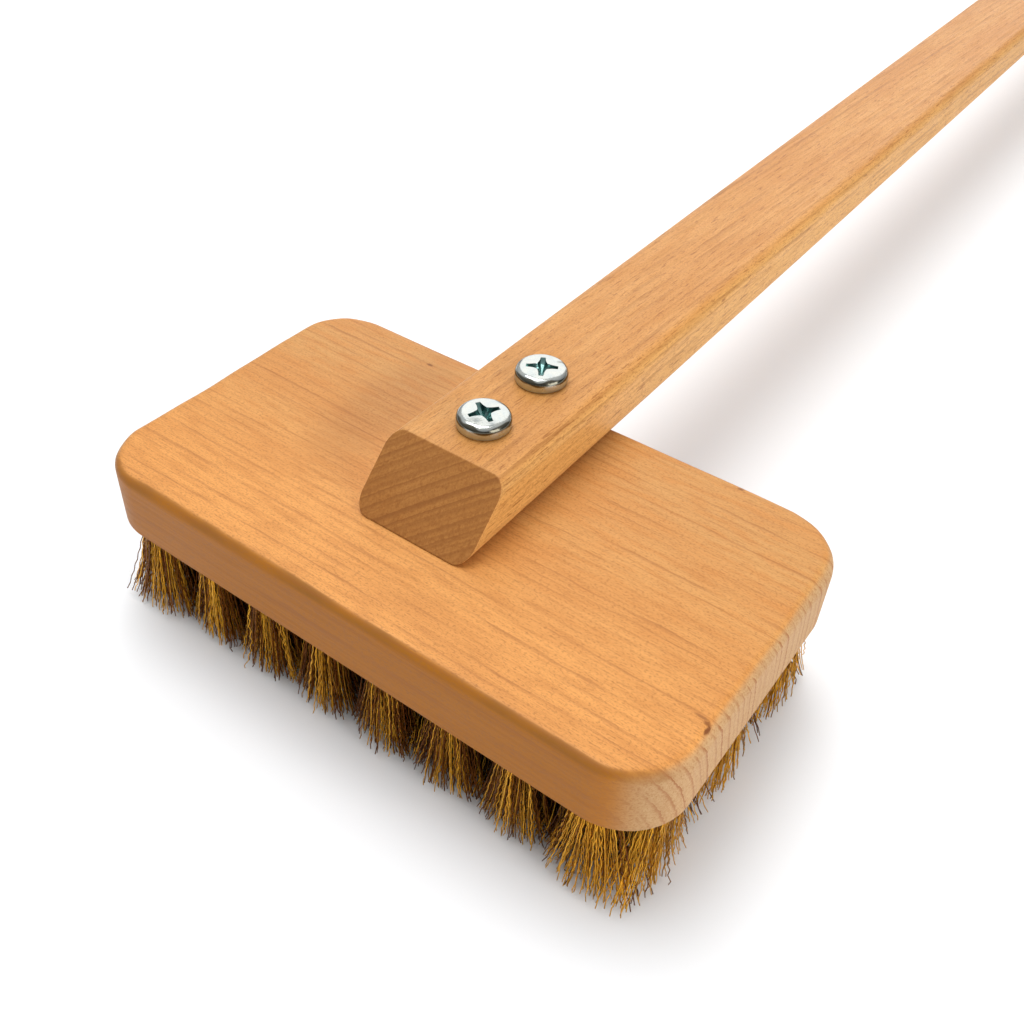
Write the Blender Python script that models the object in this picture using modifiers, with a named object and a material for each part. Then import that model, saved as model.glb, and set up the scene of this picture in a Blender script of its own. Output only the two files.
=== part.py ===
"""A pizza oven brush: brass wire tufts in a beech block, screwed under a long beech handle.

Metres, +Z up. The bristle tips stand on z = 0, the handle runs along +Y, and the origin is on the
ground under the middle of the whole brush.
"""

import math

import bmesh
import bpy
from mathutils import Matrix, Vector

# The whole brush
overall_length = 1.0
fit_gap = 0.0003
cut_overrun = 0.002
weld_distance = 0.000003

# Block, a rounded rectangular board with its grain along X
block_length = 0.200
block_width = 0.113
block_thickness = 0.022
block_corner_radius = 0.020
block_rim_radius = 0.003

# Handle, a flat bar that lies on the block and is cut on the slant at its front end
handle_width = 0.0405
handle_thickness = 0.0195
handle_edge_radius = 0.0048
handle_front_reach = 0.025
handle_front_angle = math.radians(45)
hanging_hole_radius = 0.006
hanging_hole_inset = 0.025
grip_margin = 0.006

# Screws, pan heads with a cross recess
front_screw_reach = 0.0103
screw_spacing = 0.0292
head_radius = 0.008
head_height = 0.0046
head_dome = 0.0006
head_edge_radius = 0.0010
shank_radius = 0.0031
screw_depth_in_block = 0.013
screw_point_length = 0.005
screw_point_radius = 0.0008
recess_width = 0.0096
recess_slot = 0.0019
recess_depth = 0.0032
recess_core_radius = 0.0022
recess_floor_share = 0.42
screw_turns = {"screw_front": math.radians(60), "screw_rear": math.radians(30)}

# Tufts, each a bundle of crimped brass wire with its root in a blind hole
bristle_length = 0.034
tuft_hole_radius = 0.0032
tuft_hole_depth = 0.014
root_stand = 0.001
long_row_tufts = 9
end_tuft_inset = 0.0086
outer_row_inset = 0.0094
second_row_step = 0.012

# Strands of one tuft
outer_strands = 6
strand_radius = 0.0007
strand_ring_share = 0.65
strand_root_share = 0.8
tip_gap = 0.0004
floor_cut = 0.0005
tip_rise = 0.0035
tip_rise_shares = (0.0, 0.7, 0.25, 0.0, 1.0, 0.4)
core_tip_rise_share = 0.5
bend_height_share = 0.5
bend_spread_share = 0.42
bend_swirl = math.radians(14)

# Facets on round shapes
corner_steps = 8
hole_sides = 10
root_sides = 8
turned_sides = 28
bevel_steps = 3
sharp_edge_angle = math.radians(40)

# Levels and places that follow from the sizes
block_bottom = bristle_length
block_top = block_bottom + block_thickness
handle_bottom = block_top + fit_gap
handle_top = handle_bottom + handle_thickness
head_y = (block_width - overall_length) / 2
handle_front_y = head_y - handle_front_reach
handle_back_y = overall_length / 2
hanging_hole_y = handle_back_y - hanging_hole_inset
grip_front_y = head_y + block_width / 2 + grip_margin
grip_back_y = hanging_hole_y - hanging_hole_radius - grip_margin
screw_seat = handle_top + fit_gap
screw_hole_radius = shank_radius + fit_gap
screw_tip_z = block_top - screw_depth_in_block
tuft_pitch = (block_length - 2 * end_tuft_inset) / (long_row_tufts - 1)
outer_row_y = block_width / 2 - outer_row_inset
second_row_y = outer_row_y - second_row_step
third_row_y = second_row_y / 2
neighbour_distance = min(tuft_pitch, math.hypot(tuft_pitch / 2, min(second_row_step, third_row_y)))
tip_spread = (neighbour_distance - tip_gap) / 2 - strand_radius
root_radius = tuft_hole_radius * math.cos(math.pi / hole_sides) - fit_gap
strand_ring_radius = root_radius * strand_ring_share


def clear_scene():
    for obj in list(bpy.data.objects):
        bpy.data.objects.remove(obj, do_unlink=True)


def make_collection(name):
    collection = bpy.data.collections.new(name)
    bpy.context.scene.collection.children.link(collection)
    return collection


def make_material(name, colour, roughness, metallic=0.0):
    """Principled material with a linear RGB colour."""
    material = bpy.data.materials.new(name)
    material.use_nodes = True
    shader = material.node_tree.nodes["Principled BSDF"]
    shader.inputs["Base Color"].default_value = (*colour, 1)
    shader.inputs["Roughness"].default_value = roughness
    shader.inputs["Metallic"].default_value = metallic
    material.diffuse_color = (*colour, 1)
    return material


def mesh_from(bm, name):
    mesh = bpy.data.meshes.new(name)
    bm.to_mesh(mesh)
    bm.free()
    return mesh


def add_object(name, mesh, collection, material=None):
    obj = bpy.data.objects.new(name, mesh)
    collection.objects.link(obj)
    if material:
        mesh.materials.append(material)
    return obj


def add_cutter(name, data):
    """Helper object that shapes a part and is left out of the build."""
    obj = bpy.data.objects.new(name, data)
    cutters.objects.link(obj)
    obj.hide_render = True
    obj.display_type = "WIRE"
    return obj


def add_boolean(obj, operation, other):
    modifier = obj.modifiers.new(other.name, "BOOLEAN")
    modifier.operation = operation
    modifier.solver = "EXACT"
    modifier.object = other


def finished_mesh(obj, name):
    """Mesh of an object with its modifiers or its curve bevel applied, with loose caps welded."""
    depsgraph = bpy.context.evaluated_depsgraph_get()
    mesh = bpy.data.meshes.new_from_object(obj.evaluated_get(depsgraph))
    mesh.name = name
    bm = bmesh.new()
    bm.from_mesh(mesh)
    bmesh.ops.remove_doubles(bm, verts=bm.verts, dist=weld_distance)
    bm.to_mesh(mesh)
    bm.free()
    return mesh


def finish_part(obj):
    """Keep an object's cut and rounded mesh, shaded smooth except at its sharp edges."""
    mesh = finished_mesh(obj, obj.name)
    obj.modifiers.clear()
    obj.data = mesh
    mesh.shade_smooth()
    mesh.set_sharp_from_angle(angle=sharp_edge_angle)


def split_faces_across(obj, places):
    """Split the faces at places along Y, so that the free stretch between them has its own flats."""
    bm = bmesh.new()
    bm.from_mesh(obj.data)
    for y in places:
        everything = bm.verts[:] + bm.edges[:] + bm.faces[:]
        bmesh.ops.bisect_plane(bm, geom=everything, plane_co=(0, y, 0), plane_no=(0, 1, 0))
    bm.to_mesh(obj.data)
    bm.free()


def add_cylinder(bm, radius, bottom, top, place, sides):
    """Add an upright closed cylinder between two heights at an (x, y) place."""
    middle = Vector((place[0], place[1], (bottom + top) / 2))
    bmesh.ops.create_cone(
        bm,
        cap_ends=True,
        segments=sides,
        radius1=radius,
        radius2=radius,
        depth=top - bottom,
        matrix=Matrix.Translation(middle),
    )


def add_box(bm, low, high):
    """Add a box between two opposite corners."""
    low = Vector(low)
    high = Vector(high)
    size = Matrix.Diagonal((*(high - low), 1))
    bmesh.ops.create_cube(bm, size=1, matrix=Matrix.Translation((low + high) / 2) @ size)


def bevel_marked_edges(obj, bm, is_marked, radius):
    """Round the edges that a test picks, with a Bevel modifier limited by edge weight."""
    weights = bm.edges.layers.float.new("bevel_weight_edge")
    for edge in bm.edges:
        if is_marked(edge):
            edge[weights] = 1
    bm.to_mesh(obj.data)
    bm.free()
    bevel = obj.modifiers.new("rounded edges", "BEVEL")
    bevel.limit_method = "WEIGHT"
    bevel.width = radius
    bevel.segments = bevel_steps


def rounded_rectangle(length, width, radius):
    """Outline points of a rectangle with arcs at its four corners, anticlockwise."""
    points = []
    for quarter, (sx, sy) in enumerate(((1, 1), (-1, 1), (-1, -1), (1, -1))):
        centre_x = sx * (length / 2 - radius)
        centre_y = sy * (width / 2 - radius)
        for step in range(corner_steps + 1):
            angle = math.pi / 2 * (quarter + step / corner_steps)
            points.append((centre_x + radius * math.cos(angle), centre_y + radius * math.sin(angle)))
    return points


def flat_board(name, outline, thickness):
    """Closed mesh of a flat outline, extruded to a thickness about z = 0."""
    curve = bpy.data.curves.new(name, "CURVE")
    curve.dimensions = "2D"
    curve.fill_mode = "BOTH"
    curve.extrude = thickness / 2
    spline = curve.splines.new("POLY")
    spline.points.add(len(outline) - 1)
    for point, (x, y) in zip(spline.points, outline):
        point.co = (x, y, 0, 1)
    spline.use_cyclic_u = True
    guide = add_cutter(name + "_outline", curve)
    mesh = finished_mesh(guide, name)
    bpy.data.objects.remove(guide, do_unlink=True)
    return mesh


def tuft_places():
    """Places of the tufts from the block's centre: staggered rows of one fewer and of the full number.

    A place whose hole would reach the screws, which stand on the handle's centre line, is left out.
    """
    rows = (
        (-outer_row_y, long_row_tufts - 1),
        (-second_row_y, long_row_tufts),
        (-third_row_y, long_row_tufts - 1),
        (0, long_row_tufts),
        (third_row_y, long_row_tufts - 1),
        (second_row_y, long_row_tufts),
        (outer_row_y, long_row_tufts - 1),
    )
    places = []
    for y, count in rows:
        for index in range(count):
            x = (index - (count - 1) / 2) * tuft_pitch
            if abs(x) > tuft_hole_radius + screw_hole_radius:
                places.append((x, y))
    return places


def screw_places():
    return {
        "screw_front": head_y + front_screw_reach,
        "screw_rear": head_y + front_screw_reach + screw_spacing,
    }


def make_block():
    """Beech board with a rounded top rim, blind tuft holes below and screw pilot holes above."""
    outline = rounded_rectangle(block_length, block_width, block_corner_radius)
    mesh = flat_board("brush_block", outline, block_thickness)
    block = add_object("brush_block", mesh, parts, block_beech)
    block.location = (0, head_y, (block_bottom + block_top) / 2)
    bm = bmesh.new()
    bm.from_mesh(mesh)
    bmesh.ops.dissolve_limit(bm, angle_limit=math.radians(1), verts=bm.verts, edges=bm.edges)

    def on_top_rim(edge):
        return all(vert.co.z > 0 for vert in edge.verts)

    bevel_marked_edges(block, bm, on_top_rim, block_rim_radius)

    bm = bmesh.new()
    for x, y in tuft_places():
        mouth = block_bottom - cut_overrun
        add_cylinder(bm, tuft_hole_radius, mouth, block_bottom + tuft_hole_depth, (x, head_y + y), hole_sides)
    holes = add_cutter("tuft_holes", mesh_from(bm, "tuft_holes"))
    add_boolean(block, "DIFFERENCE", holes)

    bm = bmesh.new()
    for y in screw_places().values():
        add_cylinder(
            bm, screw_hole_radius, screw_tip_z - fit_gap, block_top + cut_overrun, (0, y), turned_sides
        )
    pilots = add_cutter("pilot_holes", mesh_from(bm, "pilot_holes"))
    add_boolean(block, "DIFFERENCE", pilots)
    finish_part(block)


def make_handle():
    """Beech bar with rounded long edges, a slanted front end, screw holes and a hanging hole."""
    handle = add_object("handle", bpy.data.meshes.new("handle"), parts, handle_beech)
    bm = bmesh.new()
    add_box(
        bm,
        (-handle_width / 2, handle_front_y, handle_bottom),
        (handle_width / 2, handle_back_y, handle_top),
    )
    middle_y = (handle_front_y + handle_back_y) / 2
    middle_z = (handle_bottom + handle_top) / 2
    set_back = handle_thickness * math.tan(handle_front_angle)
    for vert in bm.verts:
        if vert.co.y < middle_y and vert.co.z > middle_z:
            vert.co.y += set_back

    def off_front_end(edge):
        return any(vert.co.y > middle_y for vert in edge.verts)

    bevel_marked_edges(handle, bm, off_front_end, handle_edge_radius)

    bm = bmesh.new()
    low = handle_bottom - cut_overrun
    high = handle_top + cut_overrun
    for y in screw_places().values():
        add_cylinder(bm, screw_hole_radius, low, high, (0, y), turned_sides)
    add_cylinder(bm, hanging_hole_radius, low, high, (0, hanging_hole_y), turned_sides)
    holes = add_cutter("handle_holes", mesh_from(bm, "handle_holes"))
    add_boolean(handle, "DIFFERENCE", holes)
    finish_part(handle)
    split_faces_across(handle, (grip_front_y, grip_back_y))


def screw_profile():
    """Radius and height of the screw's outer side from the top of the head down to its point.

    Heights are from the seat under the head. The top is a shallow dome, the edge a quarter round.
    """
    side_top = head_height - head_dome - head_edge_radius
    flat_radius = head_radius - head_edge_radius
    profile = [(0, head_height)]
    for step in range(1, bevel_steps + 1):
        share = step / bevel_steps
        profile.append((flat_radius * share, head_height - head_dome * share * share))
    for step in range(1, bevel_steps + 1):
        angle = math.pi / 2 * step / bevel_steps
        radius = flat_radius + head_edge_radius * math.sin(angle)
        profile.append((radius, side_top + head_edge_radius * math.cos(angle)))
    point_z = screw_tip_z - screw_seat
    profile += [
        (head_radius, 0),
        (shank_radius, 0),
        (shank_radius, point_z + screw_point_length),
        (screw_point_radius, point_z),
        (0, point_z),
    ]
    return profile


def make_recess(name, y, turn):
    """Cross recess: two crossing wedge slots and a tapered core."""
    top = screw_seat + head_height + cut_overrun
    floor = screw_seat + head_height - recess_depth
    middle = Matrix.Translation((0, y, (top + floor) / 2))
    growth = (top - floor) / recess_depth
    base_share = recess_floor_share
    mouth_share = base_share + (1 - base_share) * growth
    cutters_made = []
    for wing in range(2):
        bm = bmesh.new()
        corner_on_axes = Matrix.Rotation(math.radians(45), 4, "Z")
        bmesh.ops.create_cone(
            bm,
            cap_ends=True,
            segments=4,
            radius1=math.sqrt(0.5) * base_share,
            radius2=math.sqrt(0.5) * mouth_share,
            depth=1,
            matrix=corner_on_axes,
        )
        stretch = Matrix.Diagonal((recess_width, recess_slot, top - floor, 1))
        swing = Matrix.Rotation(turn + wing * math.pi / 2, 4, "Z")
        bmesh.ops.transform(bm, matrix=middle @ swing @ stretch, verts=bm.verts)
        cutters_made.append(add_cutter(f"{name}_slot_{wing + 1}", mesh_from(bm, name)))
    bm = bmesh.new()
    bmesh.ops.create_cone(
        bm,
        cap_ends=True,
        segments=root_sides,
        radius1=recess_core_radius * base_share,
        radius2=recess_core_radius * mouth_share,
        depth=top - floor,
        matrix=middle @ Matrix.Rotation(turn, 4, "Z"),
    )
    cutters_made.append(add_cutter(f"{name}_core", mesh_from(bm, name)))
    return cutters_made


def make_screws():
    for name, y in screw_places().items():
        bm = bmesh.new()
        points = [bm.verts.new((radius, 0, z)) for radius, z in screw_profile()]
        for upper, lower in zip(points, points[1:]):
            bm.edges.new((upper, lower))
        screw = add_object(name, mesh_from(bm, name), parts, zinc_steel)
        screw.location = (0, y, screw_seat)
        turned = screw.modifiers.new("turned", "SCREW")
        turned.steps = turned_sides
        turned.render_steps = turned_sides
        turned.use_merge_vertices = True
        turned.merge_threshold = weld_distance
        for cutter in make_recess(name + "_recess", y, screw_turns[name]):
            add_boolean(screw, "DIFFERENCE", cutter)
        finish_part(screw)


def strand_section():
    """Three-sided outline that the strands are drawn with, clockwise so that their faces point out."""
    curve = bpy.data.curves.new("strand_section", "CURVE")
    spline = curve.splines.new("POLY")
    sides = 3
    spline.points.add(sides - 1)
    for index, point in enumerate(spline.points):
        angle = -2 * math.pi * index / sides
        point.co = (strand_radius * math.cos(angle), strand_radius * math.sin(angle), 0, 1)
    spline.use_cyclic_u = True
    return add_cutter("strand_section", curve)


def strand_points(ring_radius, spread, turn, rise):
    """Root, bend and tip of one strand, from the mouth of the tuft's hole down."""
    bend_radius = ring_radius + (spread - ring_radius) * bend_spread_share
    root = (ring_radius, turn, root_stand * (strand_root_share - 1))
    bend = (bend_radius, turn + bend_swirl, -bristle_length * bend_height_share)
    tip = (spread, turn, rise - bristle_length - floor_cut)
    return [(radius * math.cos(angle), radius * math.sin(angle), z) for radius, angle, z in (root, bend, tip)]


def tuft_mesh():
    """One closed tuft: a root for the hole, seven strands fused to it, tips cut flat at the ground.

    The six outer strands open out to a ring that stays short of the nearest neighbour's ring, and
    they bend the same way round, so no strand crosses another.
    """
    strands = [strand_points(0, 0, 0, tip_rise * core_tip_rise_share)]
    for index in range(outer_strands):
        turn = 2 * math.pi * index / outer_strands
        rise = tip_rise * tip_rise_shares[index % len(tip_rise_shares)]
        strands.append(strand_points(strand_ring_radius, tip_spread, turn, rise))
    curve = bpy.data.curves.new("tuft_strands", "CURVE")
    curve.dimensions = "3D"
    curve.bevel_mode = "OBJECT"
    curve.bevel_object = strand_section()
    curve.use_fill_caps = True
    for points in strands:
        spline = curve.splines.new("POLY")
        spline.points.add(len(points) - 1)
        for point, place in zip(spline.points, points):
            point.co = (*place, 1)
    guide = add_cutter("tuft_strand_curves", curve)
    strand_solid = add_cutter("tuft_strands", finished_mesh(guide, "tuft_strands"))
    bpy.data.objects.remove(guide, do_unlink=True)

    bm = bmesh.new()
    reach = tip_spread + strand_radius + cut_overrun
    add_box(bm, (-reach, -reach, -bristle_length - floor_cut - cut_overrun), (reach, reach, -bristle_length))
    ground = add_cutter("ground_cut", mesh_from(bm, "ground_cut"))

    bm = bmesh.new()
    add_cylinder(bm, root_radius, -root_stand, tuft_hole_depth - fit_gap, (0, 0), root_sides)
    root = add_cutter("tuft_root", mesh_from(bm, "tuft_root"))
    add_boolean(root, "UNION", strand_solid)
    add_boolean(root, "DIFFERENCE", ground)
    mesh = finished_mesh(root, "tuft")
    mesh.materials.clear()
    mesh.materials.append(brass)
    return mesh


def make_tufts():
    """Tufts in every hole, each turned by the golden angle from the last so their tips differ."""
    mesh = tuft_mesh()
    golden_angle = math.pi * (3 - math.sqrt(5))
    for index, (x, y) in enumerate(tuft_places()):
        tuft = add_object(f"tuft_{index + 1:02d}", mesh, parts)
        tuft.location = (x, head_y + y, block_bottom)
        tuft.rotation_euler = (0, 0, index * golden_angle)


clear_scene()
parts = make_collection("pizza_oven_brush")
cutters = make_collection("cutters")
block_beech = make_material("oiled beech, block", (0.72, 0.38, 0.16), 0.5)
handle_beech = make_material("oiled beech, handle", (0.70, 0.42, 0.19), 0.5)
zinc_steel = make_material("zinc-plated steel", (0.80, 0.81, 0.82), 0.22, 1.0)
brass = make_material("crimped brass wire", (0.55, 0.33, 0.07), 0.35, 1.0)
make_block()
make_handle()
make_screws()
make_tufts()
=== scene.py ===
import math

import bpy
import numpy as np
from mathutils import Matrix, Vector


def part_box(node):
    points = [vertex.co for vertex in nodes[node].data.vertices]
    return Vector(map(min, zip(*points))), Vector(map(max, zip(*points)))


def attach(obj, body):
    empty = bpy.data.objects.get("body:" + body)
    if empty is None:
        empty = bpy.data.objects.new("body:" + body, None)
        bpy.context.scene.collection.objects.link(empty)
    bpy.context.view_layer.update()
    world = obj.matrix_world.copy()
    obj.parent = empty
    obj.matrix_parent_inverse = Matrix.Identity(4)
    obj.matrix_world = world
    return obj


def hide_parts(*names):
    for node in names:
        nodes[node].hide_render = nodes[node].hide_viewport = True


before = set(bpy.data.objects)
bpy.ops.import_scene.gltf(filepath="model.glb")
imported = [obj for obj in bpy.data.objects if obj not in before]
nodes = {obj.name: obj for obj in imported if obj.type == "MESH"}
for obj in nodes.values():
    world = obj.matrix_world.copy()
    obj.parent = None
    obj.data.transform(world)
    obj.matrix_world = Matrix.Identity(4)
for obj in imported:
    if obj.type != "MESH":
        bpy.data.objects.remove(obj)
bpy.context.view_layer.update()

# The block: a board of steamed beech, sawn to a rounded rectangle with its grain along its length.
# Its top rim is rounded with a router bit, its underside is drilled for the tufts, and it is
# sanded and oiled.

MM = 0.001
block_low, block_high = (np.array(corner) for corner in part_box("brush_block"))
head_y = (block_low[1] + block_high[1]) / 2
block_corner_radius = 20 * MM
arris = 0.3 * MM
rim_radius = 3.2 * MM
end_rim_extra = 0.25
rim_wander = 0.22
# The router wanders by waves round the rim: each one's share, number to a turn and start.
rim_waves = ((0.5, 5, 0.4), (0.3, 11, 1.9), (0.2, 23, 0.0))
tuft_hole_radius = 3.2 * MM
tuft_hole_depth = 14 * MM
screw_hole_radius = 3.4 * MM
pilot_spare = 0.3 * MM
run_out = 1 * MM
hole_sides = 24
sharp_angle = math.radians(35)


def rounded_rectangle(half_length, half_width, radius, corner_steps, side_steps):
    """Points anticlockwise round a rectangle with arcs for corners, and the angle that each faces.

    An arc is its corner's centre plus the radius times the cosine and sine of an angle that runs
    through a quarter turn. Each straight side has evenly spaced points between two arcs.
    """
    turn = np.linspace(0, math.pi / 2, corner_steps + 1)
    signs = np.array([(1, 1), (-1, 1), (-1, -1), (1, -1)])
    centres = signs * (half_length - radius, half_width - radius)
    angles = turn + np.arange(4)[:, None] * math.pi / 2
    arcs = centres[:, None] + radius * np.stack([np.cos(angles), np.sin(angles)], axis=-1)
    share = np.linspace(0, 1, side_steps + 2)[1:-1, None]
    ends = np.roll(arcs[:, 0], -1, axis=0)[:, None]
    sides = arcs[:, -1][:, None] * (1 - share) + ends * share
    side_angles = np.repeat(angles[:, -1:], side_steps, axis=1)
    points = np.concatenate([arcs, sides], axis=1).reshape(-1, 2)
    return points, np.concatenate([angles, side_angles], axis=1).reshape(-1)


def skin(name, rings):
    """Closed mesh through rings of points, one row a ring: quads between rings, a flat cap at each end."""
    count, around = rings.shape[:2]
    index = np.arange(count * around).reshape(count, around)
    side = np.roll(index, -1, axis=1)
    quads = np.stack([index[:-1], side[:-1], side[1:], index[1:]], axis=-1).reshape(-1, 4)
    faces = [*quads.tolist(), index[0, ::-1].tolist(), index[-1].tolist()]
    mesh = bpy.data.meshes.new(name)
    mesh.from_pydata(rings.reshape(-1, 3).tolist(), [], faces)
    return mesh


def add_piece(name, mesh, material, slot, *nodes):
    """Puts a mesh in the scene as a piece that rides on the brush and stands for its CAD nodes."""
    piece = bpy.data.objects.new(name, mesh)
    bpy.context.scene.collection.objects.link(piece)
    mesh.materials.append(material)
    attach(piece, "root")
    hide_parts(*nodes)
    return piece


def drill(piece, places, radii, heights, sides):
    """Cuts round holes with one boolean.

    Each bit is a circle at every height, with that height's radius.
    """
    turn = np.linspace(0, 2 * math.pi, sides, endpoint=False)
    circle = np.stack([np.cos(turn), np.sin(turn)], axis=-1)
    flat = np.array(places)[:, None, None] + np.array(radii)[None, :, None, None] * circle
    tall = np.broadcast_to(np.array(heights)[None, :, None, None], (*flat.shape[:3], 1))
    bits = [skin("bit", rings) for rings in np.concatenate([flat, tall], axis=-1)]
    joined = bpy.data.meshes.new("drill_bits")
    corners = [np.array([tuple(v.co) for v in bit.vertices]) for bit in bits]
    starts = np.cumsum([0] + [len(points) for points in corners])
    faces = [[start + v for v in face.vertices]
             for start, bit in zip(starts, bits) for face in bit.polygons]
    joined.from_pydata(np.concatenate(corners).tolist(), [], faces)
    cutter = bpy.data.objects.new("drill_bits", joined)
    bpy.context.scene.collection.objects.link(cutter)
    cut = piece.modifiers.new("drilled", "BOOLEAN")
    cut.object = cutter
    cut.solver = "EXACT"
    depsgraph = bpy.context.evaluated_depsgraph_get()
    drilled = bpy.data.meshes.new_from_object(piece.evaluated_get(depsgraph))
    piece.modifiers.clear()
    piece.data = drilled
    bpy.data.objects.remove(cutter)
    for mesh in (*bits, joined):
        bpy.data.meshes.remove(mesh)
    drilled.shade_smooth()
    drilled.set_sharp_from_angle(angle=sharp_angle)


def linear(code):
    """Linear RGBA of an sRGB hex colour."""
    channels = [int(code[i:i + 2], 16) / 255 for i in (1, 3, 5)]
    return (*(c / 12.92 if c <= 0.04045 else ((c + 0.055) / 1.055) ** 2.4 for c in channels), 1)


def add_node(tree, kind, inputs=None, **settings):
    """Adds a shader node, makes its settings, and fills or links its inputs by name or number."""
    node = tree.nodes.new(kind)
    for key, value in settings.items():
        setattr(node, key, value)
    for key, value in (inputs or {}).items():
        sockets = [s for s in node.inputs if s.enabled and s.name == key]
        socket = node.inputs[key] if isinstance(key, int) else sockets[0]
        if isinstance(value, bpy.types.Node):
            value = next(s for s in value.outputs if s.enabled)
        if isinstance(value, bpy.types.NodeSocket):
            tree.links.new(value, socket)
        else:
            socket.default_value = value
    return node


def new_finish(name):
    """A material with a plain Principled shader, its tree and that shader."""
    material = bpy.data.materials.new(name)
    material.use_nodes = True
    return material, material.node_tree, material.node_tree.nodes["Principled BSDF"]


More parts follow.
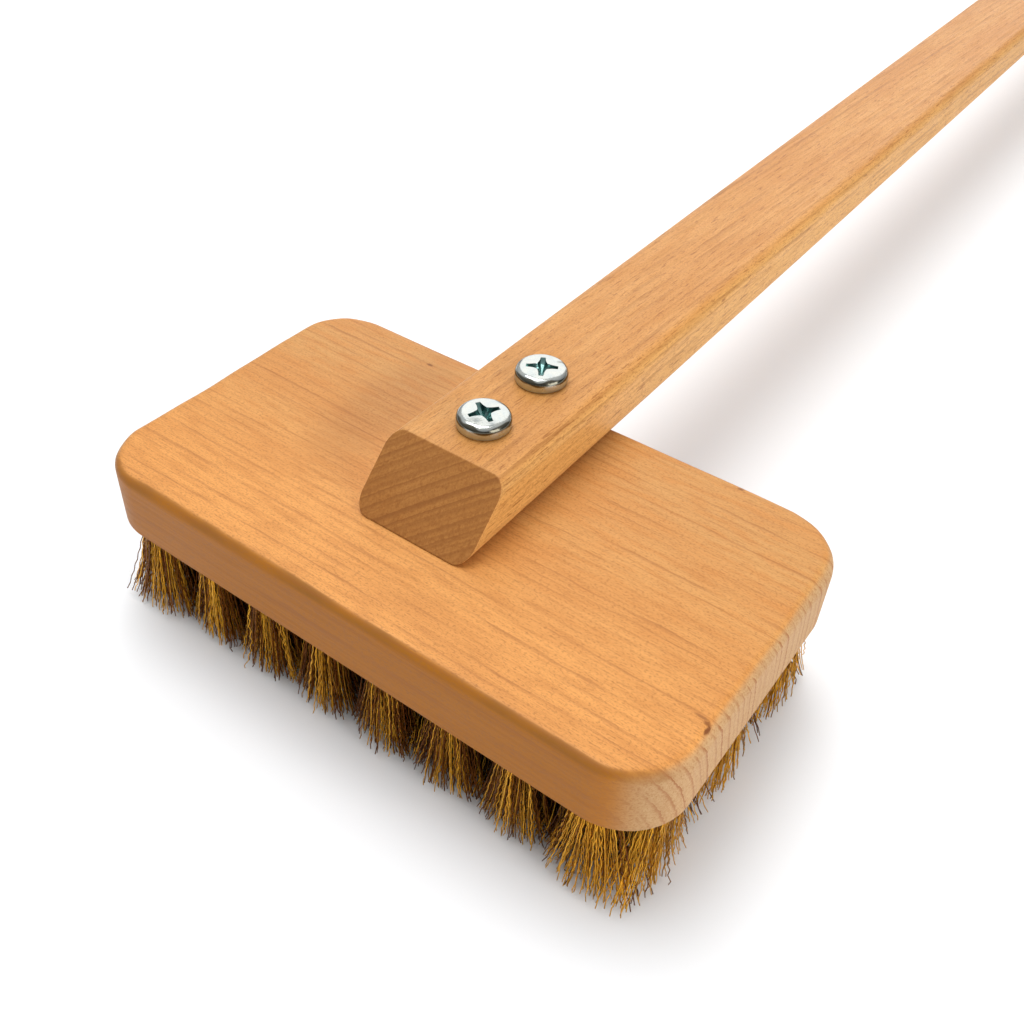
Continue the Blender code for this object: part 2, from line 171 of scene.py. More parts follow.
def beech_finish(name, centre, turn, pith, ring_gap, tones, knot_and_shade_spots=()):
    """Oiled beech, worked out in millimetres with X along the grain, Y across and Z through the board.

    A ring number is the distance to the pith line, bent by slow noise, over the ring gap, and noise
    along it makes rings uneven in gap and in strength. What is left after its whole part darkens
    towards 1, so rings are thin lines on a face and arcs on an end. Streaks follow the rings, rays
    show as small dark dashes along the grain, and pores as finer ones. Clouds and mottle are wood
    that drank more oil. Sides take a tone of painted light and shade, and ends take the tone of end
    grain, which on the block is also paler as painted light. The front of the top rim is darkened in
    patches with painted shade. A knot, or a broad patch of painted shade, is a dark ellipsoid with a
    frayed edge: its place and size along the grain's three ways, and its strength.
    """
    finish, tree, shader = new_finish(name)
    where = add_node(tree, "ShaderNodeTexCoord")
    shift = Matrix.Rotation(turn, 3, "Z") @ Vector(centre) / -MM
    grain = add_node(tree, "ShaderNodeMapping", {
        "Vector": where.outputs["Object"], "Location": shift, "Rotation": (0, 0, turn),
        "Scale": (1 / MM,) * 3})

    # Noise drawn out along the grain: millimetres along and across, then detail. Pores are 0.1 mm
    # wide on real beech and are drawn 4 times as coarse, so that they show.
    figure = {}
    for layer, along, across, detail in (
            ("bend", 170, 80, 3), ("feather", 9, 1.5, 2), ("clouds", 90, 22, 2), ("mottle", 13, 2.6, 2),
            ("fade", 30, 7, 1), ("fibres", 30, 0.9, 3), ("pores", 3.2, 0.36, 1), ("dashes", 7.0, 0.62, 1),
            ("grit", 0.9, 0.42, 2), ("rim_shade_patches", 22, 9, 3)):
        drawn_out = add_node(tree, "ShaderNodeMapping", {
            "Vector": grain, "Scale": (1 / along, 1 / across, 1 / across)})
        figure[layer] = add_node(tree, "ShaderNodeTexNoise", {
            "Vector": drawn_out, "Scale": 1.0, "Detail": detail})

    from_pith = add_node(tree, "ShaderNodeVectorMath", {
        0: grain, 1: (0, 1, 1), 2: (0, -pith[0], -pith[1])}, operation="MULTIPLY_ADD")
    for layer, reach in (("bend", tones["ring_wander"]), ("feather", tones["ring_feather"])):
        sway = add_node(tree, "ShaderNodeVectorMath", {
            0: figure[layer].outputs["Color"], 1: (0.5, 0.5, 0.5)}, operation="SUBTRACT")
        from_pith = add_node(tree, "ShaderNodeVectorMath", {
            0: sway, 1: (0, reach, reach), 2: from_pith}, operation="MULTIPLY_ADD")
    radius = add_node(tree, "ShaderNodeVectorMath", {0: from_pith}, operation="LENGTH").outputs["Value"]
    ring = add_node(tree, "ShaderNodeMath", {0: radius, 1: 1 / ring_gap}, operation="MULTIPLY")
    uneven = add_node(tree, "ShaderNodeTexNoise", {"W": ring, "Scale": 0.41, "Detail": 1.0},
                      noise_dimensions="1D")
    ring = add_node(tree, "ShaderNodeMath", {0: uneven, 1: tones["ring_uneven"], 2: ring},
                    operation="MULTIPLY_ADD")
    season = add_node(tree, "ShaderNodeMath", {0: ring}, operation="FRACT")
    streaks = add_node(tree, "ShaderNodeTexNoise", {"W": ring, "Scale": 2.6, "Detail": 4.0},
                       noise_dimensions="1D")

    # How far the surface faces each way, from 0 to 1. All but the front count both directions.
    facing = {}
    for face, way, low, high in (
            ("end", (1, 0, 0), *tones["end_from_to"]), ("side", (0, 1, 0), *tones["side_from_to"]),
            ("front", (0, -1, 0), *tones["side_from_to"]), ("top", (0, 0, 1), 0.0, 1.0)):
        way = Matrix.Rotation(-turn, 3, "Z") @ Vector(way)
        turned = add_node(tree, "ShaderNodeVectorMath", {0: where.outputs["Normal"], 1: way},
                          operation="DOT_PRODUCT").outputs["Value"]
        if face != "front":
            turned = add_node(tree, "ShaderNodeMath", {0: turned}, operation="ABSOLUTE")
        facing[face] = add_node(tree, "ShaderNodeMapRange", {
            "Value": turned, "From Min": low, "From Max": high}, interpolation_type="SMOOTHSTEP")
    # The top rounding where it turns to the front, which gets painted shade.
    painted_rim_shade = add_node(tree, "ShaderNodeMath", {0: facing["top"], 1: facing["front"]},
                         operation="MULTIPLY")

    # Rings fade in and out along the grain, differ from year to year and are strongest on an end.
    # Streaks and fibres are stronger there too, and pores and dashes weaker.
    ring_depth = add_node(tree, "ShaderNodeMapRange", {
        "Value": figure["fade"], "From Min": 0.38, "From Max": 0.62,
        "To Min": tones["ring_depth"] * 0.15, "To Max": tones["ring_depth"]})
    ring_depth = add_node(tree, "ShaderNodeMapRange", {
        "Value": facing["end"], "From Min": tones["end_rings_from"],
        "To Min": ring_depth, "To Max": tones["end_ring_depth"]})
    year = add_node(tree, "ShaderNodeMapRange", {
        "Value": uneven, "From Min": 0.35, "From Max": 0.62, "To Min": 0.35, "To Max": 1.0})
    ring_depth = add_node(tree, "ShaderNodeMath", {0: ring_depth, 1: year}, operation="MULTIPLY")
    streak_depth = add_node(tree, "ShaderNodeMapRange", {
        "Value": facing["end"], "From Min": 0.3,
        "To Min": tones["streak_depth"] * 0.2, "To Max": tones["streak_depth"]})
    less_on_end = add_node(tree, "ShaderNodeMapRange", {
        "Value": facing["end"], "To Min": 1.0, "To Max": 0.35})
    more_on_end = add_node(tree, "ShaderNodeMapRange", {
        "Value": facing["end"], "To Min": 1.0, "To Max": tones["end_speckle"]})
    by_end = {"fibres": more_on_end, "pores": less_on_end, "dashes": less_on_end}
    # Painted shade on the front of the rim lies in patches.
    rim_shade_depth = add_node(tree, "ShaderNodeMapRange", {
        "Value": figure["rim_shade_patches"], "From Min": 0.38, "From Max": 0.62,
        "To Min": tones["rim_shade_depth"] * 0.3, "To Max": tones["rim_shade_depth"]})

    # Each stain is laid over the last: what masks it, from where to where, how strong, its colour.
    colour = linear(tones["heart"])
    mask = {}
    # The side stain is painted shade on the block and painted light on the handle. The end stain is end
    # grain, on the block also paler as painted light. The rim stain is painted shade.
    for stain, source, low, high, depth, tone in (
            ("sap", radius, *tones["sap_from_to"], 1.0, "sap"),
            ("clouds", figure["clouds"], 0.38, 0.66, tones["cloud_depth"], "cloud"),
            ("mottle", figure["mottle"], 0.42, 0.68, tones["mottle_depth"], "cloud"),
            ("side", facing["side"], 0.0, 1.0, tones["side_light_shade_depth"], "side"),
            ("end", facing["end"], 0.0, 1.0, tones["end_depth"], "end"),
            ("rim", painted_rim_shade, 0.02, 0.45, rim_shade_depth, "rim"),
            ("fibres", figure["fibres"], 0.40, 0.75, tones["fibre_depth"], "line"),
            ("streaks", streaks, 0.42, 0.70, streak_depth, "line"),
            ("rings", season, tones["late_from"], 0.97, ring_depth, "line"),
            ("pores", figure["pores"], 0.58, 0.74, tones["pore_depth"], "fleck"),
            ("dashes", figure["dashes"], 0.63, 0.71, tones["dash_depth"], "fleck"),
            ("grit", figure["grit"], 0.48, 0.72, tones["grit_depth"], "fleck")):
        mask[stain] = add_node(tree, "ShaderNodeMapRange", {
            "Value": source, "From Min": low, "From Max": high, "To Max": depth},
            interpolation_type="SMOOTHSTEP")
        share = mask[stain]
        if stain in by_end:
            share = add_node(tree, "ShaderNodeMath", {0: share, 1: by_end[stain]}, operation="MULTIPLY")
        colour = add_node(tree, "ShaderNodeMix", {"Factor": share, "A": colour, "B": linear(tones[tone])},
                          data_type="RGBA")

    # A knot's distance is in its own sizes, and grit is added to it, which frays the edge near 1.
    for place, size, strength in knot_and_shade_spots:
        away = add_node(tree, "ShaderNodeVectorMath", {0: grain, 1: place}, operation="SUBTRACT")
        away = add_node(tree, "ShaderNodeVectorMath", {0: away, 1: [1 / s for s in size]},
                        operation="MULTIPLY")
        away = add_node(tree, "ShaderNodeVectorMath", {0: away}, operation="LENGTH").outputs["Value"]
        frayed = add_node(tree, "ShaderNodeMath", {0: figure["grit"], 1: 1.1, 2: away},
                          operation="MULTIPLY_ADD")
        spot = add_node(tree, "ShaderNodeMapRange", {
            "Value": frayed, "From Min": 1.6, "From Max": 0.9, "To Max": strength},
            interpolation_type="SMOOTHSTEP")
        colour = add_node(tree, "ShaderNodeMix", {"Factor": spot, "A": colour, "B": linear(tones["knot"])},
                          data_type="RGBA")

    # Fibres and grit stand up by their weights, and pores, dashes and late wood lie lower.
    relief = 0.5
    for height, weight in ((figure["fibres"], 0.4), (figure["grit"], 0.5), (mask["pores"], -0.5),
                           (mask["dashes"], -0.3), (mask["rings"], -0.15)):
        relief = add_node(tree, "ShaderNodeMath", {0: height, 1: weight, 2: relief},
                          operation="MULTIPLY_ADD")
    bump = add_node(tree, "ShaderNodeBump", {"Strength": 0.35, "Distance": grain_relief, "Height": relief})

    # Rubbed oil has a soft gleam, and an end, which drinks it, is duller.
    rough = add_node(tree, "ShaderNodeMapRange", {
        "Value": figure["fibres"], "From Min": 0.3, "From Max": 0.7, "To Min": 0.42, "To Max": 0.54})
    rough = add_node(tree, "ShaderNodeMath", {0: facing["end"], 1: 0.14, 2: rough},
                     operation="MULTIPLY_ADD")
    tree.links.new(next(s for s in colour.outputs if s.enabled), shader.inputs["Base Color"])
    tree.links.new(rough.outputs[0], shader.inputs["Roughness"])
    tree.links.new(bump.outputs[0], shader.inputs["Normal"])
    shader.inputs["IOR"].default_value = 1.48
    shader.inputs["Specular IOR Level"].default_value = 0.24
    return finish


# Rings from the underside up. The rim's are a quarter circle that is larger at the block's ends and
# swells with the router's wander, both in and down. A spare ring keeps each flat face flat.
half_length, half_width = (block_high[:2] - block_low[:2]) / 2
bend = np.linspace(0, math.pi / 2, 9)
insets = [arris, 0, 0, 0, *rim_radius * (1 - np.cos(bend)), rim_radius * 1.1]
levels = [block_low[2], block_low[2] + arris, block_low[2] + 2 * arris, block_high[2] - rim_radius * 2,
          *block_high[2] - rim_radius * (1 - np.sin(bend)), block_high[2]]
outline, faces_angle = rounded_rectangle(half_length, half_width, block_corner_radius, 24, 30)
outward = np.stack([np.cos(faces_angle), np.sin(faces_angle)], axis=-1)
along_rim = np.arange(len(outline)) / len(outline) * 2 * math.pi
wander = sum(share * np.sin(count * along_rim + start) for share, count, start in rim_waves)
rim_size = 1 + end_rim_extra * np.cos(faces_angle) ** 2 + rim_wander * wander
is_rim = np.array([0] * 4 + [1] * (len(bend) + 1))[:, None, None]
stretch = 1 + is_rim * (rim_size[:, None] - 1)
flat_rings = outline - np.array(insets)[:, None, None] * outward * stretch + (0, head_y)
drop = (block_high[2] - np.array(levels))[:, None] * stretch[..., 0]
block_rings = np.concatenate([flat_rings, (block_high[2] - drop)[..., None]], axis=-1)

tuft_names = sorted(name for name in nodes if name.startswith("tuft_"))


def root_centre(name):
    """Place of a tuft's hole: the middle of the top end of its CAD root."""
    points = np.array([tuple(v.co) for v in nodes[name].data.vertices])
    top = points[points[:, 2] > points[:, 2].max() - 0.5 * MM]
    return (top.min(axis=0)[:2] + top.max(axis=0)[:2]) / 2


tuft_places = [root_centre(name) for name in tuft_names]
screw_places = {name: (np.array(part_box(name)[0]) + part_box(name)[1])[:2] / 2
                for name in ("screw_front", "screw_rear")}
screw_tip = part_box("screw_front")[0][2]

# Colours, then where in millimetres the sapwood sets in and how far the rings bend, where a ring
# darkens, how far a surface faces an end or side to count as one, and each stain's strength.
grain_relief = 0.12 * MM
# The block's side tone is painted shade: its long sides and the rounding above them come out darker and
# redder than the top.
block_tones = {
    # The block's end tone is end grain made paler with painted light from the right.
    "heart": "#DA974F", "sap": "#C69153", "cloud": "#C48240", "side": "#AE6A0E", "end": "#B8966B",
    "line": "#92562A", "rim": "#8E5C22", "fleck": "#96602E", "knot": "#6A3616",
    "sap_from_to": (72, 165), "ring_wander": 5.0, "ring_feather": 1.3, "ring_uneven": 0.9,
    "late_from": 0.70, "end_rings_from": 0.78, "end_from_to": (0.15, 0.88), "side_from_to": (0.10, 0.72),
    "cloud_depth": 0.55, "mottle_depth": 0.55, "side_light_shade_depth": 1.0, "end_depth": 0.9, "rim_shade_depth": 0.85,
    "ring_depth": 0.52, "end_ring_depth": 0.88, "streak_depth": 0.20, "fibre_depth": 0.22,
    "pore_depth": 0.36, "dash_depth": 0.30, "grit_depth": 0.54, "end_speckle": 1.0,
}
# Three spots make the knot at the right end. The rest are a broad dim patch of painted shade
# left of the handle, and two small flecks.
block_knot_and_shade_spots = [
    ((95.0, -28.1, 0.0), (2.6, 0.6, 1.5), 0.55), ((97.0, -29.0, 0.0), (1.5, 0.9, 1.5), 0.7),
    ((97.8, -30.7, -0.3), (0.75, 2.1, 2.0), 0.9), ((-46.0, 20.0, 0.0), (17.0, 40.0, 9.0), 0.16),
    ((63.8, 54.4, 0), (1.4, 0.8, 1.0), 0.7), ((-49.1, 46.5, 0), (1.6, 0.8, 1.0), 0.7),
]
block_beech = beech_finish("oiled_beech_block", (0, head_y, block_high[2]), 0, (-117, -44), 3.5,
                           block_tones, knot_and_shade_spots=block_knot_and_shade_spots)
block = add_piece("block", skin("block", block_rings), block_beech, "block_beech", "brush_block")
drill(block, tuft_places, (tuft_hole_radius,) * 2,
      (block_low[2] - run_out, block_low[2] + tuft_hole_depth), hole_sides)
drill(block, list(screw_places.values()), (screw_hole_radius,) * 2,
      (screw_tip - pilot_spare, block_high[2] + run_out), hole_sides)

# The tufts: bundles of crimped hard-drawn brass wire, folded over a staple and driven into the
# block's blind holes, then trimmed. The wires fan out below the holes until the tufts meet.

# Real wires are about 0.25 mm thick. These are drawn thicker and fewer, which keeps the meshes small.
wires_in_tuft = 260
wire_radius = 0.18 * MM
wire_points = 18
tube_sides = 3
wire_start = 3 * MM
bundle_radius = 2.75 * MM
fan_radius = 13.5 * MM
fast_share = 0.45
fast_power = 8.0
wire_lean = 0.16
edge_margin = 1.0 * MM
# In fan radii: the room that makes a tuft the last before the edge, and how little and how much its
# tips then reach, along the block and across it.
last_tuft_room = 1.85
least_reach = 0.62
most_reach = (1.5, 1.3)
end_spread = 1.3
tip_scatter = 0.6 * MM
trim_height = 0.5 * MM
trim_dish = 1.3 * MM
trim_scatter = 0.7 * MM
wire_bow = 0.45 * MM
wire_curl = 0.25 * MM
crimp_depth = 0.20 * MM
crimp_rise = 8
crimp_range = (0.5, 1.3)
stray_share = 0.015
stray_scatter = 2.2 * MM
stray_crimp = 0.8
# Painted shade inside the brush: where it starts in from the edge, how far it grows and how soon it fades
# towards the tips.
inner_shade_from = 6.5 * MM
inner_shade_over = 6 * MM
bright_tip = 0.25
# Painted light on wires towards the right end, and painted shade on each tuft's flanks.
end_painted_light = 0.95
flank_shade = 0.6
# How far out to a flank a tuft's wires stand on the mean, as a share, so shade leaves the mean tone.
mean_flank = 0.42
golden_angle = math.pi * (3 - math.sqrt(5))
first_seed = 300


def wire_tubes(paths, radius, turns):
    """Three-sided tubes along paths, as corner points and faces.

    A corner is the path's point plus the radius times the cosine and sine of its angle along two
    directions square to the path's run there. The first of them is also square to a fixed level
    direction, along which no wire runs.
    """
    count, length = paths.shape[:2]
    run = np.gradient(paths, axis=1)
    run /= np.linalg.norm(run, axis=-1, keepdims=True)
    side = np.cross(run, (0.31, 0.95, 0))
    side /= np.linalg.norm(side, axis=-1, keepdims=True)
    other = np.cross(run, side)
    angles = (turns[:, None] + np.arange(tube_sides) * 2 * math.pi / tube_sides)[:, None, :, None]
    arms = np.cos(angles) * side[:, :, None] + np.sin(angles) * other[:, :, None]
    corners = paths[:, :, None] + radius * arms
    index = np.arange(count * length * tube_sides).reshape(count, length, tube_sides)
    beside = np.roll(index, -1, axis=2)
    quads = np.stack([index[:, :-1], beside[:, :-1], beside[:, 1:], index[:, 1:]], axis=-1)[..., ::-1]
    ends = np.concatenate([index[:, 0], index[:, -1, ::-1]])
    return corners.reshape(-1, 3), quads.reshape(-1, 4), ends


def tuft_mesh(name, place, seed):
    """One tuft: wires set in the hole by the golden angle, fanned out below it, crimped and trimmed.

    Depth runs from 0 at the block to 1 at the tip. A wire moves out from its place in the hole to
    its tip's by a fast share of 1 - (1 - depth) to the fast power, and the rest of depth squared.
    Where the block's edge is near, the tips keep inside it, and where a tuft is the last before the
    edge but has room, they reach out to it. Sine waves bow and curl a wire, and its crimps step to
    and fro along one level line. Outer wires are cut higher, by the square of their place.

    A wire's tone is random, made brighter towards the right end with painted light, by the fourth
    power of the distance, and darker on a tuft's left and right flanks with painted shade. Painted
    shade grows with the distance in from the block's edge, and fades out towards the tips.
    """
    rng = np.random.default_rng(seed)
    share = np.sqrt((np.arange(wires_in_tuft) + 0.5) / wires_in_tuft)
    angle = np.arange(wires_in_tuft) * golden_angle + rng.uniform(0, 2 * math.pi)
    root = bundle_radius * share[:, None] * np.stack([np.cos(angle), np.sin(angle)], axis=-1)
    lean = angle + rng.normal(0, wire_lean, wires_in_tuft)
    tip = fan_radius * share[:, None] * np.stack([np.cos(lean), np.sin(lean)], axis=-1)
    from_middle = place - (0, head_y)
    room = np.array([half_length, half_width]) - edge_margin - np.abs(from_middle)
    last = room < last_tuft_room * fan_radius
    reach = np.where(last, np.clip(room / fan_radius, least_reach, most_reach), 1.0)
    to_edge = np.sign(from_middle) * tip > 0
    tip = tip * np.where(to_edge, reach, 1.0) * (1.0, end_spread if last[0] else 1.0)
    tip = tip + rng.normal(0, tip_scatter, (wires_in_tuft, 2))
    stray = rng.random(wires_in_tuft) < stray_share
    tip = tip + stray[:, None] * rng.normal(0, stray_scatter, (wires_in_tuft, 2))
    bottom = trim_height + trim_dish * share ** 2 * ~stray
    bottom = bottom + np.abs(rng.normal(0, trim_scatter, wires_in_tuft))
    top = block_low[2]
    down = np.linspace(0, 1, wire_points)
    shift = rng.uniform(-0.5, 0.5, wires_in_tuft)[:, None] / (wire_points - 1)
    down = np.clip(down + shift * (down > 0) * (down < 1), 0, 1)
    height = (top + wire_start) + (bottom[:, None] - top - wire_start) * down
    depth = np.clip((top - height) / (top - bottom[:, None]), 0, 1)
    spread = fast_share * (1 - (1 - depth) ** fast_power) + (1 - fast_share) * depth ** 2
    flat = root[:, None] + (tip - root)[:, None] * spread[..., None]
    bow = rng.normal(0, wire_bow, (wires_in_tuft, 1, 2)) * np.sin(math.pi * depth)[..., None]
    curl = rng.normal(0, wire_curl, (wires_in_tuft, 1, 2)) * np.sin(2 * math.pi * depth)[..., None]
    crimp_angle = rng.uniform(0, 2 * math.pi, wires_in_tuft)
    crimp_way = np.stack([np.cos(crimp_angle), np.sin(crimp_angle)], axis=-1)[:, None]
    crimp = np.where(np.arange(wire_points) % 2, 1, -1) * np.clip(depth * crimp_rise, 0, 1) * crimp_depth
    crimp = crimp * (rng.uniform(*crimp_range, (wires_in_tuft, 1)) + stray_crimp * stray[:, None])
    flat = flat + (bow + curl) + crimp_way * crimp[..., None]
    paths = np.concatenate([flat + place, height[..., None]], axis=-1)
    from_edge = np.min([half_length, half_width] - np.abs(flat + from_middle), axis=-1)
    # Painted shade, growing in from the block's edge and fading towards the tips.
    inner_shade = np.clip((from_edge - inner_shade_from) / inner_shade_over, 0, 1) * np.clip((1 - depth) / bright_tip, 0, 1)
    corners, quads, ends = wire_tubes(paths, wire_radius, rng.uniform(0, 2 * math.pi, wires_in_tuft))
    mesh = bpy.data.meshes.new(name)
    mesh.from_pydata(corners.tolist(), [], [*quads.tolist(), *ends.tolist()])
    mesh.shade_smooth()
    # Painted light brightens wires towards the right end, and painted shade darkens each tuft's flanks.
    gleam = end_painted_light * max(place[0] / half_length, 0) ** 4
    gleam = gleam + flank_shade * (mean_flank - np.abs(root[:, 0]) / bundle_radius)
    tone = gleam + rng.uniform(0, 1, wires_in_tuft)
    for attribute, values in (("wire_tone_and_light", np.repeat(tone, wire_points * tube_sides)),
                              ("wire_inner_shade", np.repeat(inner_shade.reshape(-1), tube_sides))):
        mesh.attributes.new(attribute, "FLOAT", "POINT").data.foreach_set("value", values)
    return mesh


# Drawn brass is a smooth yellow metal with a bright gleam. Each wire has gone more or less
# red-brown at random, tarnish lies in patches about 4 mm long, and the wires' tone also carries
# painted light at the right end and painted shade on the flanks. Wires inside the brush are painted
# nearly black as shade.
brass, tree, shader = new_finish("crimped_brass_wire")
tone = add_node(tree, "ShaderNodeAttribute", attribute_name="wire_tone_and_light")
inner_shade = add_node(tree, "ShaderNodeAttribute", attribute_name="wire_inner_shade")
where = add_node(tree, "ShaderNodeTexCoord")
tarnish = add_node(tree, "ShaderNodeTexNoise", {
    "Vector": where.outputs["Object"], "Scale": 260.0, "Detail": 2.0})
wire_colour = linear("#F0B23A")
# Rows: the wires' tone, random with painted light and shade; real tarnish; painted shade inside the brush.
for source, low, high, most, dark in (
        (tone.outputs["Fac"], 0.74, 0.44, 0.88, "#5A1708"),
        (tarnish, 0.45, 0.70, 0.35, "#4A1E0A"),
        (inner_shade.outputs["Fac"], 0.0, 1.0, 0.94, "#2C0C05")):
    dull = add_node(tree, "ShaderNodeMapRange", {
        "Value": source, "From Min": low, "From Max": high, "To Max": most},
        interpolation_type="SMOOTHSTEP")
    wire_colour = add_node(tree, "ShaderNodeMix", {"Factor": dull, "A": wire_colour, "B": linear(dark)},
                           data_type="RGBA")
tree.links.new(next(s for s in wire_colour.outputs if s.enabled), shader.inputs["Base Color"])
shader.inputs["Metallic"].default_value = 1.0
shader.inputs["Roughness"].default_value = 0.28

for number, (name, place) in enumerate(zip(tuft_names, tuft_places)):
    wires = "wires_" + name[-2:]
    add_piece(wires, tuft_mesh(wires, place, first_seed + number), brass, "brass_wire", name)

# The handle: a flat beech bar planed with rounded long edges, its front end sawn on the slant, its
# far end rounded, with clearance holes for the two screws and a drilled hole to hang it by.

handle_low, handle_high = (np.array(corner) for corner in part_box("handle"))
handle_edge_radius = 4.8 * MM
front_angle = math.radians(45)
saw_arris = 0.22 * MM
# The sawn end's arris, as shares of its size: how far in and how far back each ring lies.
saw_arris_rings = ((1.6, 0), (1, 0), (0.3, 0.4), (0, 1.3), (0, 2))
slant_clearance = 3 * MM
bar_sections = 60
far_end_radius = 4.6 * MM
far_end_flat = 0.05 * MM
hanging_hole_radius = 6 * MM
hanging_hole_inset = 25 * MM
hanging_hole_sides = 40
hole_chamfer = 0.8 * MM
grain_slope = math.radians(2.8)


def bar_ring(inset, back, slant):
    """Section of the bar: a rounded rectangle moved in by an inset.

    Its place along Y is a start plus the height above the underside times the slant.
    """
    half_across, half_thick = bar_half - inset
    points, _ = rounded_rectangle(half_across, half_thick, handle_edge_radius - inset, 12, 6)
    x, z = points[:, 0], points[:, 1] + bar_middle
    y = back + (z - handle_low[2]) * slant
    return np.stack([-x, y, z], axis=-1)


bar_half = (handle_high - handle_low)[[0, 2]] / 2
bar_middle = (handle_low[2] + handle_high[2]) / 2
slant = math.tan(front_angle)
front = [bar_ring(saw_arris * inset, handle_low[1] + saw_arris * back, slant)
         for inset, back in saw_arris_rings]
first_square = handle_low[1] + (handle_high[2] - handle_low[2]) * slant + slant_clearance
last_square = handle_high[1] - far_end_radius * 1.1
middle = [bar_ring(0, y, 0) for y in np.linspace(first_square, last_square, bar_sections)]
far_end = [bar_ring(inset, handle_high[1] - back, 0)
           for inset, back in zip(far_end_radius * (1 - np.cos(bend)), far_end_radius * (1 - np.sin(bend)))]
far_end.append(bar_ring(far_end_radius + far_end_flat, handle_high[1], 0))
# The handle's side tone is painted light, brighter than its top, and its weak rim stain is painted shade.
handle_tones = {
    "heart": "#CE9656", "sap": "#C68D4A", "cloud": "#BC7C38", "side": "#DBA55E", "end": "#A0692F",
    "line": "#8A5626", "rim": "#8A5626", "fleck": "#844A1C",
    "sap_from_to": (392, 420), "ring_wander": 3.0, "ring_feather": 0.6, "ring_uneven": 2.2,
    "late_from": 0.48, "end_rings_from": 0.5, "end_from_to": (0.15, 0.78), "side_from_to": (0.40, 0.95),
    "cloud_depth": 0.5, "mottle_depth": 0.35, "side_light_shade_depth": 0.85, "end_depth": 0.80, "rim_shade_depth": 0.15,
    "ring_depth": 0.46, "end_ring_depth": 0.90, "streak_depth": 0.50, "fibre_depth": 0.20,
    "pore_depth": 0.46, "dash_depth": 0.60, "grit_depth": 0.44, "end_speckle": 3.0,
}
handle_beech = beech_finish("oiled_beech_handle", (0, 0, handle_high[2]), -math.pi / 2 + grain_slope,
                            (-236, -324), 2.7, handle_tones)
handle = add_piece("handle_bar", skin("handle_bar", np.array(front + middle + far_end)), handle_beech,
                   "handle_beech", "handle")
low, high = handle_low[2], handle_high[2]
drill(handle, list(screw_places.values()), (screw_hole_radius,) * 2, (low - run_out, high + run_out),
      hole_sides)
hang_radii = hanging_hole_radius + np.array([run_out + hole_chamfer, 0, 0, run_out + hole_chamfer])
drill(handle, [(0, handle_high[1] - hanging_hole_inset)], hang_radii,
      (low - run_out, low + hole_chamfer, high - hole_chamfer, high + run_out), hanging_hole_sides)

# The screws: zinc-plated steel with a pan head and a cross recess, cold-headed, their threads
# rolled, driven down through the handle into the block.

head_radius = 8.15 * MM
head_height = 4.6 * MM
head_edge_radius = 2.0 * MM
head_dome = 0.3 * MM
# The head's foot curls in to the seat: how far in and how high each ring lies.
foot_rings = ((0, 0.5 * MM), (0.12 * MM, 0.15 * MM), (0.4 * MM, 0))
shank_radius = 3.1 * MM
plain_length = 12 * MM
thread_depth = 0.6 * MM
thread_pitch = 2.4 * MM
thread_steps = 6
point_length = 5 * MM
# The point narrows to a share of the thread's core, part of the way up it, and ends blunt.
point_waist = 0.55
waist_place = 0.4
blunt_tip = 0.05
recess_arm = 4.9 * MM
recess_tip = 0.75 * MM
recess_core = 1.5 * MM
recess_depth = 3.2 * MM
# The recess narrows to its bottom: each ring's share of the outline and of the depth. The face's
# rings lie at shares of the way from the recess to the rounded edge.
recess_rings = ((0.04, 1.0), (0.16, 0.97), (0.34, 0.80), (0.62, 0.55), (0.86, 0.33), (0.955, 0.06))
face_rings = (0, 0.25, 0.55, 0.85, 1.0)
screw_sharp_angle = math.radians(40)
# How far the painted reflection bands wander up and down.
wavy_reflection_band = 1.8 * MM


def cross_outline(around):
    """Radius of the cross recess at angles from an arm's middle line.

    An arm's end is its length over the cosine. Its flank starts at the tip's half width and flares
    to the core with the square of the distance from the end, so the sides between arms are hollow.
    """
    folded = np.abs((around + math.pi / 4) % (math.pi / 2) - math.pi / 4)
    along = np.linspace(recess_arm, recess_core, 30)
    flare = ((recess_arm - along) / (recess_arm - recess_core)) ** 2
    half = recess_tip + (recess_core - recess_tip) * flare
    flank = np.interp(folded, np.arctan2(half, along), np.hypot(half, along))
    return np.where(folded < math.atan2(recess_tip, recess_arm), recess_arm / np.cos(folded), flank)


